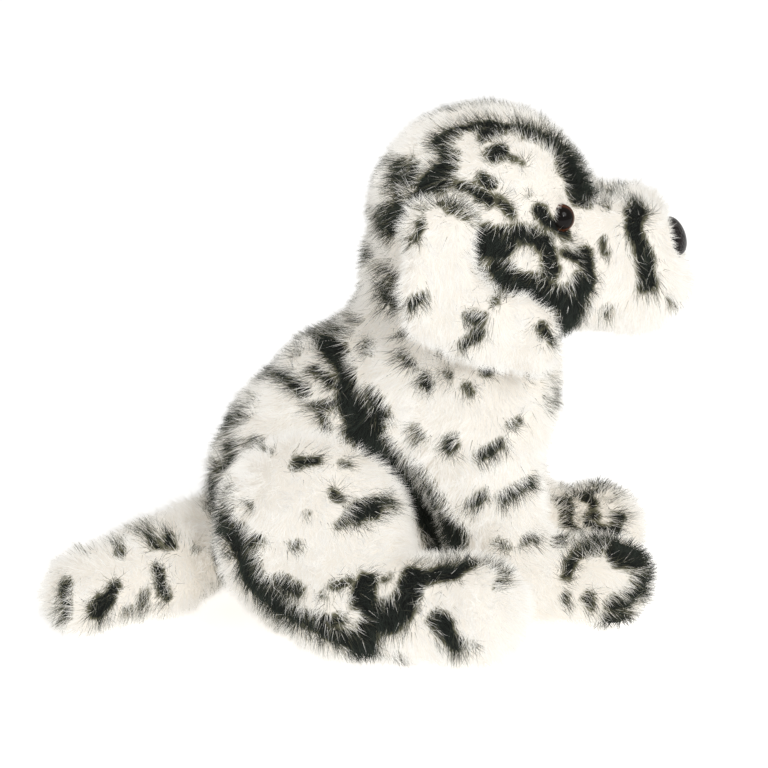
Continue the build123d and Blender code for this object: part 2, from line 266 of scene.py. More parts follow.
def hind_leg_field(points):
    folded = sided(points)
    thigh = ellipsoid(folded, (-52, 27, 57), (39, 47, 50))
    foot = capsule(folded, (-84, 14, 31), (-91, -52, 29), 25, 23)
    toes = ellipsoid(folded, (-91, -60, 27), (20, 18, 20))
    return melt([thigh, foot, toes], 18) + 1.1 * waves(points, 34, 5) - 1.8


def tail_field(points):
    return melt([
        capsule(points, (0, 80, 34), (-30, 110, 28), 19, 18.5),
        capsule(points, (-30, 110, 28), (-55, 147, 24), 18.5, 18),
    ], 12) + 0.9 * waves(points, 30, 6) - 1.8


# ---------------------------------------------------------------- skins

def slope_of(field, points):
    """Unit direction in which the field grows, and how fast it grows."""
    step = 0.5
    gradient = np.stack([
        (field(points + step * axis) - field(points - step * axis)) / (2 * step) for axis in np.eye(3)
    ], axis=-1)
    size = np.maximum(np.linalg.norm(gradient, axis=-1), 1e-6)
    return gradient / size[..., None], size


def skin_of(field, low, high):
    """Meshes where the field is zero, between two corners of a grid: (vertices, quads, normals)."""
    def shape(points):
        return np.maximum(field(points), SKIN_LOWEST - points[..., 2])

    low = np.array(low, float)
    counts = np.ceil((np.array(high) - low) / SKIN_CELL).astype(int) + 1
    lines = [low[i] + SKIN_CELL * np.arange(counts[i]) for i in range(3)]
    inside = shape(np.stack(np.meshgrid(*lines, indexing="ij"), axis=-1)) < 0
    filled = np.zeros(counts - 1, int)
    for corner in np.ndindex(2, 2, 2):
        filled += inside[tuple(slice(c, c + n - 1) for c, n in zip(corner, counts))]
    mixed = (filled > 0) & (filled < 8)
    number = np.full(mixed.shape, -1)
    number[mixed] = np.arange(mixed.sum())
    vertices = low + SKIN_CELL * (np.argwhere(mixed) + 0.5)

    # A quad for each edge of the grid that the surface crosses, with a corner in each of the cells round it
    quads = []
    for axis in range(3):
        across, beside = (axis + 1) % 3, (axis + 2) % 3
        before = np.take(inside, range(counts[axis] - 1), axis)
        after = np.take(inside, range(1, counts[axis]), axis)
        edges = np.argwhere(before != after)
        corners = []
        for step_across, step_beside in ((0, 0), (1, 0), (1, 1), (0, 1)):
            cells = edges.copy()
            cells[:, across] -= step_across
            cells[:, beside] -= step_beside
            corners.append(number[tuple(cells.T)])
        quad = np.stack(corners, axis=1)
        leaves = before[tuple(edges.T)]
        quads.append(np.where(leaves[:, None], quad, quad[:, ::-1]))
    quads = np.concatenate(quads)

    # Even out the vertices and pull them back on to the surface, a few times over
    ends = np.concatenate([quads[:, [i, (i + 1) % 4]] for i in range(4)])
    for _ in range(4):
        total = np.zeros_like(vertices)
        np.add.at(total, ends[:, 0], vertices[ends[:, 1]])
        vertices = total / np.maximum(np.bincount(ends[:, 0], minlength=len(vertices)), 1)[:, None]
        for _ in range(2):
            normals, size = slope_of(shape, vertices)
            vertices = vertices - (np.clip(shape(vertices), -2, 2) / size)[:, None] * normals
    normals, _ = slope_of(field, vertices)
    return vertices, quads, normals


# ---------------------------------------------------------------- markings, some of them painted shade

# Each marking is (radius, [(y, h), ...]): a spot, or a stripe through several places. All in mm. A few are
# painted shade, as said where they stand.
HEAD_MARKS_AND_SHADE = [
    (2.8, [(-38, 236), (-44, 242), (-51, 245), (-59, 247), (-66, 247)]),
    (3.0, [(-61, 242), (-71, 245), (-81, 245)]),
    (3.8, [(-81, 244), (-92, 241), (-101, 233)]),
    (7.2, [(-105, 228), (-110, 220), (-112, 211)]),
    (3.9, [(-43, 234), (-44, 226), (-43, 220)]),
    (2.8, [(-43, 219), (-39, 214)]),
    (4.6, [(-40, 223), (-33, 217), (-28, 209), (-26, 201), (-28, 197)]),
    (3.0, [(-26, 226), (-23, 217)]),
    (3.0, [(-19, 228), (-18, 217), (-17, 205)]),
    (4.6, [(-17, 203), (-15, 195)]),
    (3.4, [(-27, 208), (-21, 203), (-16, 197)]),
    (3.0, [(-10, 205), (-11, 196), (-15, 192)]),
    (4.0, [(-65, 231), (-70, 233)]),
    (0.9, [(-72, 230), (-80, 227)]),
    (3.0, [(-60, 219), (-66, 214)]),
    (3.0, [(-49, 216), (-57, 212), (-64, 207)]),
    (2.4, [(-70, 207), (-76, 200)]),
    (0.8, [(-83, 209)]),
    # Painted shade: these two thin dark lines lie along the crease where the ear meets the head
    (1.2, [(-42, 203), (-50, 200)]),
    (1.2, [(-48, 206), (-58, 199)]),
    (8.5, [(-62, 188), (-70, 187)]),
    (2.2, [(-57, 177), (-62, 164)]),
    (6.4, [(-69, 174), (-76, 165), (-90, 162), (-101, 157)]),
    (4.0, [(-78, 191), (-88, 190), (-94, 182), (-95, 171)]),
    (3.4, [(-90, 202), (-95, 195), (-103, 190)]),
    (2.6, [(-103, 181), (-110, 179)]),
    (3.6, [(-113, 182), (-115, 169)]),
    (6.8, [(-111, 164), (-107, 156), (-105, 147)]),
    (1.8, [(-123, 188), (-124, 181)]),
    (4.6, [(-140, 203), (-140, 192), (-145, 181), (-146, 164)]),
    (2.4, [(-125, 153)]),
    (2.2, [(-130, 214), (-137, 216)]),
    (1.2, [(-125, 206)]),
    (1.8, [(-158, 158)]),
    (1.8, [(-171, 178)]),
]
EAR_MARKS_AND_SHADE = [
    (3.8, [(-55, 145), (-59, 144)]),
    (2.6, [(-50, 131), (-59, 136)]),
    (1.8, [(-67, 153)]),
    (1.6, [(-71, 157)]),
    (2.9, [(-90, 139), (-96, 132)]),
    (2.4, [(-103, 142), (-103, 127)]),
    (2.2, [(-30, 191), (-24, 184)]),
    (3.2, [(-22, 150), (-30, 154)]),
    (1.6, [(-31, 199)]),
    # Painted shade: these two thin dark lines lie along the crease where the ear meets the head
    (1.6, [(-38, 203), (-47, 199)]),
    (1.4, [(-44, 198), (-52, 194)]),
    (2.0, [(-57, 177), (-62, 164)]),
]
SHOULDER_MARKS_AND_SHADE = [
    (1.9, [(-19, 138), (-23, 137)]),
    (2.8, [(-19, 126), (-23, 121)]),
    (2.8, [(-30, 115), (-33, 111)]),
    # Painted shadow: this dark stripe lies along the shade under the ear's hem
    (2.4, [(-39, 131), (-43, 128)]),
    (2.4, [(-43, 115)]),
    (2.8, [(-53, 109)]),
    (3.8, [(-63, 119)]),
    (1.8, [(-64, 126), (-69, 125)]),
    (2.0, [(-84, 117)]),
    (1.4, [(-92, 117)]),
    (3.2, [(-97, 111), (-95, 103)]),
    (2.2, [(-27, 88), (-29, 85)]),
    (3.4, [(-44, 81), (-45, 78)]),
    (3.0, [(-60, 75), (-70, 80)]),
    (1.9, [(-75, 90), (-79, 92)]),
]
HAUNCH_MARKS = [
    (3.6, [(49, 119), (44, 116), (36, 111), (32, 107)]),
    (2.4, [(27, 117), (19, 111), (12, 106)]),
    (2.4, [(27, 99), (15, 101)]),
    (2.6, [(25, 97), (20, 87)]),
    (3.4, [(62, 97), (68, 92), (75, 86)]),
    (2.8, [(68, 80), (68, 72), (74, 68)]),
    (4.6, [(83, 67), (79, 56), (72, 46), (68, 32)]),
    (3.0, [(70, 56)]),
    (3.6, [(57, 80)]),
    (1.4, [(49, 75)]),
    (1.2, [(56, 102)]),
    (2.6, [(35, 69), (24, 70)]),
    (1.8, [(11, 69)]),
    (2.6, [(15, 54), (13, 51)]),
    (5.8, [(3, 43), (-4, 47)]),
    (3.6, [(-4, 48), (-11, 49)]),
    (2.4, [(12, 38), (6, 42)]),
    (1.4, [(58, 48)]),
    (1.2, [(28, 43)]),
    (2.0, [(37, 27), (34, 27)]),
]
TORSO_MARKS_AND_SHADE = SHOULDER_MARKS_AND_SHADE + HAUNCH_MARKS + [
    (2.6, [(18, 139), (10, 138)]),
    (6.0, [(19, 131), (12, 120)]),
    (5.0, [(12, 119), (10, 107)]),
    (7.6, [(9, 104), (2, 89)]),
    # These two stripes run down into the hollow between the haunch, the front leg and the hind foot, where
    # they are partly the belly's dark fur and partly painted shade of the hollow
    (9.5, [(2, 87), (-11, 67), (-21, 56)]),
    (8.5, [(-21, 56), (-36, 38), (-40, 26)]),
    (1.9, [(-1, 132), (-2, 127)]),
    (3.8, [(-3, 106), (-6, 98), (-7, 93)]),
    (2.0, [(36, 128)]),
    (3.0, [(-2, 178), (-5, 181)]),
    (1.4, [(1, 168)]),
    (1.4, [(0, 184)]),
    (1.8, [(-17, 177)]),
    (3.0, [(-11, 171), (-17, 164)]),
    (3.6, [(-10, 160), (-18, 152)]),
    (1.2, [(-8, 150)]),
    (2.2, [(4, 145)]),
    (4.5, [(96, 50), (88, 42)]),
]
FRONT_LEG_MARKS_AND_SHADE = SHOULDER_MARKS_AND_SHADE + [
    # These two stripes run down into the hollow between the haunch, the front leg and the hind foot, where
    # they are partly dark fur and partly painted shade of the hollow
    (6.6, [(-13, 79), (-28, 58)]),
    (8.6, [(-28, 56), (-45, 30)]),
    (3.0, [(-56, 51), (-61, 55)]),
    (3.3, [(-71, 52), (-84, 60)]),
    (2.2, [(-83, 29), (-88, 31)]),
    (1.9, [(-69, 28), (-74, 27)]),
    (3.8, [(-102, 28), (-106, 34), (-112, 39)]),
    (4.2, [(-112, 38), (-116, 33)]),
    (3.2, [(-121, 28), (-130, 28)]),
    (2.6, [(-123, 27), (-111, 21), (-105, 11)]),
    (6.6, [(-133, 22), (-143, 20)]),
    (5.0, [(-146, 16), (-146, 7), (-140, 0)]),
    (4.6, [(-140, 0), (-130, -4)]),
    (3.8, [(-128, -12), (-138, -13)]),
    (2.0, [(-105, 2), (-105, -2)]),
    (2.8, [(-117, -1), (-117, -4)]),
]
FAR_FRONT_LEG_MARKS = [
    (2.4, [(-109, 38), (-114, 41), (-129, 39), (-140, 35)]),
    (2.6, [(-99, 64), (-106, 50), (-111, 38), (-115, 27), (-120, 19)]),
    (3.2, [(-126, 34), (-132, 26), (-137, 17)]),
    (3.0, [(-142, 23), (-137, 16), (-132, 9)]),
    (4.0, [(-128, 2), (-144, -2)]),
    (3.0, [(-80, 52), (-86, 46)]),
    (3.2, [(-58, 60), (-64, 56)]),
    (2.8, [(-76, 84), (-70, 88)]),
    (3.0, [(-46, 96), (-42, 92)]),
]
HIND_LEG_MARKS = HAUNCH_MARKS + [
    (5.6, [(66, 33), (60, 22), (58, 12)]),
    (2.8, [(60, 30), (53, 29)]),
    (5.6, [(57, 11), (51, 3), (44, -3)]),
    (4.4, [(42, 8), (40, 6)]),
    (3.0, [(40, 6), (32, 4)]),
    (4.8, [(44, -3), (33, -10), (23, -15), (11, -21), (0, -25)]),
    (3.0, [(25, -10), (12, -10)]),
    (5.8, [(-2, 7), (0, -3)]),
    (9.0, [(-8, -9), (-14, -10)]),
    (6.6, [(-2, -18), (0, -26)]),
    (7.2, [(-17, -11), (-22, -2)]),
    (6.4, [(-24, 3), (-27, 10)]),
    (2.0, [(-12, 10)]),
    (2.0, [(14, 7), (8, 9)]),
    (1.4, [(20, 1)]),
    (2.2, [(-18, -31)]),
    (3.8, [(-30, 10), (-46, 12), (-56, 18)]),
    (2.8, [(-56, 19), (-63, 21), (-70, 16), (-74, 13)]),
    (1.8, [(-72, 12), (-69, 7)]),
    (5.4, [(-39, -12), (-43, -16), (-47, -22)]),
    (1.8, [(-55, -24)]),
]
TAIL_MARKS_AND_SHADE = [
    (2.2, [(149, 28), (149, 24)]),
    (2.4, [(132, 26), (131, 23)]),
    (1.5, [(137, 30)]),
    (3.0, [(116, 31), (113, 28)]),
    (2.4, [(107, 30), (106, 26)]),
    (1.6, [(123, 35)]),
    (2.2, [(159, 8), (160, -8)]),
    (3.8, [(133, 6), (144, -8)]),
    (2.6, [(119, 1), (119, -3)]),
    (2.0, [(127, -5)]),
    (3.2, [(112, 14), (109, 2)]),
    (3.0, [(120, -16), (111, -13)]),
    (1.2, [(93, 24)]),
    # Partly a dark spot and partly painted shade where the tail runs in under the haunch
    (4.0, [(80, 27), (76, 10)]),
    (2.4, [(84, 2)]),
    (2.0, [(84, 47), (81, 40)]),
]


def mark_depth(points, marks):
    """How far each point of the pattern plane is inside a marking, in mm; negative outside."""
    depth = np.full(len(points), -1e3)
    for radius, places in marks:
        path = np.array(places, float)
        if len(path) == 1:
            gap = np.linalg.norm(points - path[0], axis=1)
            depth = np.maximum(depth, radius - gap)
        for start, end in zip(path[:-1], path[1:]):
            run = end - start
            along = np.clip((points - start) @ run / (run @ run), 0, 1)
            gap = np.linalg.norm(points - start - along[:, None] * run, axis=1)
            depth = np.maximum(depth, radius - gap)
    return depth + MARK_SPREAD


def loose_spot_depth(points, seed):
    """Spots for the faces that the side layout doesn't reach: one in most cells of a jittered 3-D grid."""
    best = np.full(len(points), -1e3)
    cell = np.floor(points / SPOT_SPACING).astype(int)
    for offset in np.ndindex(3, 3, 3):
        near = cell + np.array(offset) - 1
        # Four shares between 0 and 1 that look random and stay the same for a cell, made with prime numbers
        mixed = near @ np.array([73856093, 19349663, 83492791]) + seed * 2654435
        share = [np.mod(mixed * factor, 1009) / 1009 for factor in (7919, 104729, 1299709, 15485863)]
        centre = (near + 0.15 + 0.7 * np.stack(share[:3], axis=1)) * SPOT_SPACING
        radius = 2.0 + 3.4 * share[3]
        gap = np.linalg.norm((points - centre) * (1.15, 0.95, 0.8), axis=1)
        best = np.maximum(best, np.where(share[3] > 0.25, radius - gap, -1e3))
    return best


def coat_depth(points, normals, look):
    """How deep each point lies in a dark marking, or in painted shade drawn like one, in mm."""
    seed = look["pattern"]
    near_marks = look["marks"]
    far_marks = look.get("far_marks", near_marks)
    warp = np.stack([waves(points, 16, 40 + seed), waves(points, 16, 50 + seed)], axis=1)
    fine = np.stack([waves(points, 5, 60 + seed), waves(points, 5, 70 + seed)], axis=1)
    up = math.cos(PATTERN_LEAN) * points[:, 2] - math.sin(PATTERN_LEAN) * np.abs(points[:, 0])
    hang = np.array(look.get("hang", (0, 0)))
    flat = np.stack([points[:, 1], up], axis=1) + hang + MARK_BEND * warp + MARK_WOBBLE * fine
    left = points[:, 0] > 0
    moved = flat - np.array(FAR_SHIFT) + FAR_BEND * warp
    depth = np.where(left, mark_depth(moved, far_marks), mark_depth(flat, near_marks))

    # The markings fade out where the surface turns away from the plane, and loose spots take over
    outward = -normals[:, 0] * np.where(left, -1, 1)
    facing = math.cos(PATTERN_LEAN) * outward + math.sin(PATTERN_LEAN) * normals[:, 2]
    wrap = np.where(left, look.get("far_wrap", 0.15), look.get("wrap", 0.15))
    depth = depth - MARK_FADE * np.maximum(wrap - facing, 0)
    spots = loose_spot_depth(points + 2 * waves(points, 14, 80 + seed)[:, None], seed)
    return np.maximum(depth, spots - SPOT_FADE * np.maximum(facing - wrap + 0.15, 0))


# ---------------------------------------------------------------- fur

def clipped_near(points, centre, reach, least):
    """1 away from a place, down to `least` at it, for clipping fur short round an eye or the nose."""
    gap = np.linalg.norm(points - centre, axis=1)
    grow = np.clip((gap / reach - 0.45) / 0.55, 0, 1)
    return least + (1 - least) * grow * grow * (3 - 2 * grow)


def fur_roots(skin, look, draw):
    """Where strands stand, picked at random: (roots, normals, the skin's triangle under each)."""
    vertices, quads, normals = skin
    triangles = np.concatenate([quads[:, [0, 1, 2]], quads[:, [0, 2, 3]]])
    corner = vertices[triangles]
    area = np.linalg.norm(np.cross(corner[:, 1] - corner[:, 0], corner[:, 2] - corner[:, 0]), axis=1) / 2
    count = int(area.sum() * STRANDS_PER_MM2 * look.get("density", 1))
    pick = draw.choice(len(triangles), count, p=area / area.sum())
    a, b = draw.random(count), draw.random(count)
    over = a + b > 1
    a[over], b[over] = 1 - a[over], 1 - b[over]
    weights = np.stack([1 - a - b, a, b], axis=1)
    root = np.einsum("nk,nkd->nd", weights, corner[pick])
    normal = np.einsum("nk,nkd->nd", weights, normals[triangles[pick]])
    normal /= np.linalg.norm(normal, axis=1)[:, None]

    # None grow deep inside a neighbour, under the dog, or where an eye or the nose sits
    keep = ~((root[:, 2] < UNDER_HEIGHT) & (normal[:, 2] < -0.8))
    for neighbour, depth in look.get("hidden_in", ()):
        keep &= neighbour(root) > -depth
    for centre, reach, _ in look.get("clipped", ()):
        keep &= np.linalg.norm(root - centre, axis=1) > reach * BARE_SHARE
    return root[keep], normal[keep], triangles[pick[keep]]


def fur_of(skin, look, seed):
    """Strands all over a skin: each one's four corners, coat, shade and the skin's triangle under it."""
    draw = np.random.default_rng(seed)
    root, normal, triangle = fur_roots(skin, look, draw)
    count = len(root)

    lie = look["lie"](root)
    for number, (width, share) in enumerate(LOCKS):
        lie = lie + share * np.stack([waves(root, width, seed + 10 * number + i) for i in range(3)], axis=1)
    lie = lie + draw.normal(scale=LOCK_SCATTER, size=(count, 3))
    lie -= np.sum(lie * normal, axis=1)[:, None] * normal
    lie /= np.maximum(np.linalg.norm(lie, axis=1), 1e-6)[:, None]
    scatter = draw.normal(scale=LEAN_SCATTER, size=count)
    lean = np.radians(look["lean"]) + scatter + 0.15 * waves(root, 9, seed + 20)
    length = look["length"] * draw.uniform(*LENGTHS, count) * (1 + 0.13 * waves(root, 11, seed + 30))
    for centre, reach, least in look.get("clipped", ()):
        length *= clipped_near(root, centre, reach, least)
    direction = np.cos(lean)[:, None] * normal + np.sin(lean)[:, None] * lie
    tip = root + length[:, None] * direction
    root = root - ROOT_DEPTH * normal

    side = np.cross(normal, lie)
    above = np.cross(side, direction)
    half_width = 0.5 * STRAND_WIDTH * draw.uniform(*WIDTHS, count)[:, None]
    turn = draw.uniform(0, 2 * math.pi, count)
    around = [
        np.cos(turn + angle)[:, None] * side + np.sin(turn + angle)[:, None] * above
        for angle in (0, 2 * math.pi / 3, 4 * math.pi / 3)
    ]
    corners = np.stack([*(root + half_width * out for out in around), tip], axis=1)
    corners[..., 2] = np.maximum(corners[..., 2], TIP_LOWEST)

    depth = coat_depth(root, normal, look)
    stray = np.where(draw.random(count) < STRAY_SHARE, STRAY_REACH * draw.normal(size=count), 0)
    coat = np.clip(0.5 + (depth + 0.3 * FEATHER * draw.normal(size=count) + stray) / FEATHER, 0, 1)
    shade = np.clip(0.5 + 0.22 * draw.normal(size=count) + 0.2 * waves(root, 12, seed + 35), 0, 1)
    return {"corners": corners, "coat": coat, "shade": shade, "triangle": triangle}


def unwrap_skin(vertices, quads):
    """The UV of every quad's four corners, one row each, found by Blender's own unwrapping."""
    mesh = bpy.data.meshes.new("unwrapping")
    mesh.from_pydata((vertices * MM).tolist(), [], quads.tolist())
    piece = bpy.data.objects.new("unwrapping", mesh)
    bpy.context.collection.objects.link(piece)
    bpy.context.view_layer.objects.active = piece
    piece.select_set(True)
    mesh.uv_layers.new(name="OFBake")
    bpy.ops.object.mode_set(mode="EDIT")
    bpy.ops.mesh.select_all(action="SELECT")
    bpy.ops.uv.smart_project(angle_limit=math.radians(60), island_margin=0.004)
    bpy.ops.object.mode_set(mode="OBJECT")
    corners = np.empty(len(mesh.loops) * 2, np.float32)
    mesh.uv_layers["OFBake"].data.foreach_get("uv", corners)
    bpy.data.objects.remove(piece)
    bpy.data.meshes.remove(mesh)
    return corners.reshape(-1, 2)


def mesh_piece(name, points, faces, uv, values, smooth):
    """A mesh object from points in mm, faces as rows of point numbers, corner UVs and point attributes."""
    corners = faces.reshape(-1)
    sizes = np.full(len(faces), faces.shape[1])
    mesh = bpy.data.meshes.new(name)
    mesh.vertices.add(len(points))
    mesh.vertices.foreach_set("co", (points * MM).astype(np.float32).reshape(-1))
    mesh.loops.add(len(corners))
    mesh.loops.foreach_set("vertex_index", corners.astype(np.int32))
    mesh.polygons.add(len(sizes))
    mesh.polygons.foreach_set("loop_start", (np.cumsum(sizes) - sizes).astype(np.int32))
    mesh.update(calc_edges=True)
    mesh.polygons.foreach_set("use_smooth", np.full(len(sizes), smooth))
    mesh.uv_layers.new(name="OFBake").data.foreach_set("uv", uv.astype(np.float32).reshape(-1))
    for attribute, value in values.items():
        made = mesh.attributes.new(attribute, "FLOAT", "POINT")
        made.data.foreach_set("value", value.astype(np.float32))
    mesh.materials.append(FUR)
    piece = bpy.data.objects.new(name, mesh)
    bpy.context.collection.objects.link(piece)
    return piece


def pile_of(name, fur, strands, root_uv):
    """One mesh of some of the fur's strands, each a slim spike with three sides."""
    first = 4 * np.arange(len(strands))[:, None]
    sides = np.concatenate([first + np.array(corners) for corners in ((0, 1, 3), (1, 2, 3), (2, 0, 3))])
    uv = np.tile(np.repeat(root_uv[strands], 3, axis=0), (3, 1))
    pile = mesh_piece(name, fur["corners"][strands].reshape(-1, 3), sides, uv, {
        "coat": np.repeat(fur["coat"][strands], 4),
        "tip": np.tile([0.0, 0.0, 0.0, 1.0], len(strands)),
        "shade": np.repeat(fur["shade"][strands], 4),
    }, smooth=False)
    # Light passes between real fibres; these wide strands would block it, so only the skins cast shadows
    pile.visible_shadow = False
    pile.visible_diffuse = False
    return pile


def furry_piece(name, field, low, high, look, seed):
    """A closed cloth skin and the fur that stands on it: (skin, [piles]), mesh objects for the same body."""
    vertices, quads, normals = skin_of(field, low, high)
    uv = unwrap_skin(vertices, quads)
    skin = mesh_piece("skin_" + name, vertices, quads, uv, {
        "coat": np.clip(0.5 + coat_depth(vertices, normals, look) / FEATHER, 0, 1),
        # The skin has the strands' root colour, with its painted shade of the pile's depth
        "tip": np.zeros(len(vertices)),
        "shade": np.full(len(vertices), 0.5),
    }, smooth=True)

    fur = fur_of((vertices, quads, normals), look, seed)
    vertex_uv = np.zeros((len(vertices), 2))
    vertex_uv[quads.reshape(-1)] = uv
    root_uv = vertex_uv[fur["triangle"][:, 0]]
    shares = np.array_split(np.arange(len(root_uv)), math.ceil(len(root_uv) / STRANDS_PER_PIECE))
    piles = [pile_of(f"fur_{name}_{i}", fur, strands, root_uv) for i, strands in enumerate(shares, 1)]
    return skin, piles


# ---------------------------------------------------------------- materials

def new_material(name):
    """Makes a material: (material, its shader, a function that adds a node, one that joins two sockets)."""
    material = bpy.data.materials.new(name)
    material.use_nodes = True
    nodes = material.node_tree.nodes
    links = material.node_tree.links
    shader = nodes["Principled BSDF"]

    def node(kind, **settings):
        made = nodes.new(kind)
        for key, value in settings.items():
            setattr(made, key, value)
        return made

    return material, shader, node, links.new


def ramp(made, stops):
    """Sets a colour ramp's stops: [(place, (r, g, b)), ...]."""
    elements = made.color_ramp.elements
    while len(elements) < len(stops):
        elements.new(0.5)
    for element, (place, colour) in zip(elements, stops):
        element.position = place
        element.color = (*colour, 1)


def fur_material():
    """White plush with near-black markings, olive where they mix, and roots painted darker and warmer: shade
    deep in the pile.

    Each point has a coat from 0, white, to 1, dark. Its tip is 0 at a strand's root and 1 at its point, and
    its shade from 0 to 1 is the strand's own brightness.
    """
    material, shader, node, join = new_material("spotted_fur")
    coat, tip, shade = [node("ShaderNodeAttribute", attribute_name=name) for name in ("coat", "tip", "shade")]

    def colour_by(value, stops):
        made = node("ShaderNodeValToRGB")
        ramp(made, stops)
        join(value.outputs["Fac"], made.inputs["Fac"])
        return made.outputs["Color"]

    def blend(first, second, low, high):
        """The first colour where the coat value is under `low`, and the second where it is over `high`."""
        share = node("ShaderNodeMapRange")
        share.inputs["From Min"].default_value = low
        share.inputs["From Max"].default_value = high
        join(coat.outputs["Fac"], share.inputs["Value"])
        mix = node("ShaderNodeMix", data_type="RGBA")
        join(share.outputs["Result"], mix.inputs["Factor"])
        join(first, mix.inputs["A"])
        join(second, mix.inputs["B"])
        return mix.outputs["Result"]

    # Painted shade: both colours darken towards the strands' roots, and the white warms there, for the shade
    # deep in the pile that the strands don't cast
    light = colour_by(tip, [
        (0.0, (0.90, 0.85, 0.77)), (0.5, (0.96, 0.945, 0.91)), (1.0, (0.99, 0.985, 0.96)),
    ])
    dark = colour_by(tip, [
        (0.0, (0.007, 0.008, 0.007)), (0.5, (0.017, 0.022, 0.018)), (1.0, (0.046, 0.060, 0.049)),
    ])
    olive = colour_by(shade, [(0.0, (0.05, 0.05, 0.03)), (1.0, (0.24, 0.23, 0.15))])
    brightness = node("ShaderNodeMapRange")
    brightness.inputs["To Min"].default_value = 0.86
    join(shade.outputs["Fac"], brightness.inputs["Value"])
    varied = node("ShaderNodeVectorMath", operation="SCALE")
    join(light, varied.inputs["Vector"])
    join(brightness.outputs["Result"], varied.inputs["Scale"])
    mixed = blend(blend(varied.outputs["Vector"], olive, 0.15, 0.5), dark, 0.5, 0.8)
    join(mixed, shader.inputs["Base Color"])
    shader.inputs["Roughness"].default_value = 0.75
    shader.inputs["Specular IOR Level"].default_value = 0.08
    shader.inputs["Sheen Weight"].default_value = 0.03
    shader.inputs["Sheen Roughness"].default_value = 0.5
    return material


def eye_material(node_name, side):
    """Glossy eye: black pupil in front, amber towards the rim, as rings about the eye's own axis."""
    material, shader, node, join = new_material(node_name + "_glass")
    centre = EYE * (-side, 1, 1) * MM
    place = node("ShaderNodeTexCoord")
    offset = node("ShaderNodeVectorMath", operation="SUBTRACT")
    offset.inputs[1].default_value = centre
    join(place.outputs["Object"], offset.inputs[0])
    # The cross product with the eye's axis is as long as the distance from that axis
    across = node("ShaderNodeVectorMath", operation="CROSS_PRODUCT")
    level = math.cos(EYE_UP)
    axis = (side * math.sin(EYE_ASIDE) * level, -math.cos(EYE_ASIDE) * level, math.sin(EYE_UP))
    across.inputs[1].default_value = axis
    join(offset.outputs["Vector"], across.inputs[0])
    reach = node("ShaderNodeVectorMath", operation="LENGTH")
    join(across.outputs["Vector"], reach.inputs[0])
    share = node("ShaderNodeMath", operation="DIVIDE")
    share.inputs[1].default_value = EYE_RADIUS * MM
    join(reach.outputs["Value"], share.inputs[0])
    rings = node("ShaderNodeValToRGB")
    ramp(rings, [
        (0.0, (0.004, 0.003, 0.003)), (0.72, (0.006, 0.004, 0.003)), (0.84, (0.075, 0.021, 0.008)),
        (0.95, (0.060, 0.016, 0.006)), (1.0, (0.015, 0.005, 0.003)),
    ])
    join(share.outputs["Value"], rings.inputs["Fac"])
    join(rings.outputs["Color"], shader.inputs["Base Color"])
    shader.inputs["Roughness"].default_value = 0.06
    shader.inputs["Specular IOR Level"].default_value = 0.12
    shader.inputs["Coat Weight"].default_value = 0.05
    shader.inputs["Coat Roughness"].default_value = 0.03
    return material


def nose_material():
    """Black moulded nose with a fine pebbled face."""
    material, shader, node, join = new_material("nose_plastic")
    place = node("ShaderNodeTexCoord")
    pebbles = node("ShaderNodeTexVoronoi", feature="SMOOTH_F1")
    pebbles.inputs["Scale"].default_value = 900
    join(place.outputs["Object"], pebbles.inputs["Vector"])
    colour = node("ShaderNodeValToRGB")
    ramp(colour, [(0.0, (0.024, 0.019, 0.019)), (0.8, (0.004, 0.003, 0.003))])
    join(pebbles.outputs["Distance"], colour.inputs["Fac"])
    join(colour.outputs["Color"], shader.inputs["Base Color"])
    bump = node("ShaderNodeBump")
    bump.inputs["Strength"].default_value = 0.9
    bump.inputs["Distance"].default_value = 0.0007
    bump.invert = True
    join(pebbles.outputs["Distance"], bump.inputs["Height"])
    join(bump.outputs["Normal"], shader.inputs["Normal"])
    shader.inputs["Roughness"].default_value = 0.28
    shader.inputs["Specular IOR Level"].default_value = 0.12
    shader.inputs["Coat Weight"].default_value = 0.05
    shader.inputs["Coat Roughness"].default_value = 0.15
    return material


def thread_material():
    """Black embroidery thread with a twist of fine strands."""
    material, shader, node, join = new_material("embroidery_thread")
    place = node("ShaderNodeTexCoord")
    twist = node("ShaderNodeTexWave", wave_type="BANDS", bands_direction="DIAGONAL")
    twist.inputs["Scale"].default_value = 420
    join(place.outputs["Object"], twist.inputs["Vector"])
    colour = node("ShaderNodeValToRGB")
    ramp(colour, [(0.0, (0.006, 0.006, 0.006)), (1.0, (0.035, 0.034, 0.032))])
    join(twist.outputs["Fac"], colour.inputs["Fac"])
    join(colour.outputs["Color"], shader.inputs["Base Color"])
    bump = node("ShaderNodeBump")
    bump.inputs["Distance"].default_value = 0.0003
    join(twist.outputs["Fac"], bump.inputs["Height"])
    join(bump.outputs["Normal"], shader.inputs["Normal"])
    shader.inputs["Roughness"].default_value = 0.6
    return material


FUR = fur_material()


# ---------------------------------------------------------------- the pieces

# A look says how a piece's fur is:
#   marks, far_marks   markings, a few of them painted shade, of the right side, and of the left side where it has its own
#   pattern            seed of the waves that bend the markings, and of the loose spots
#   hang               how far along the pattern plane the strands' tips hang from their roots, in mm
#   wrap, far_wrap     how far round the piece the markings reach: at 0.15 they stop short of its edges
#   length, lean       of the strands, in mm and in degrees from upright
#   lie                function that gives the direction in which they lean
#   density            share of the usual number of strands
#   hidden_in          (neighbour's field, depth in mm) inside which none grow
#   clipped            (place, reach in mm, least share of the length) where they are clipped short

def lies(*direction):
    """Fur that lies one way all over a part."""
    def lie(points):
        return np.tile(np.array(direction, float), (len(points), 1))
    return lie


def head_lie(points):
    """Back from the nose over the head, and down the cheeks and the nape."""
    away = points - np.array((0, -150, 205))
    down = np.array((0, 0, -1.0))
    return away / np.linalg.norm(away, axis=1)[:, None] + 0.9 * down


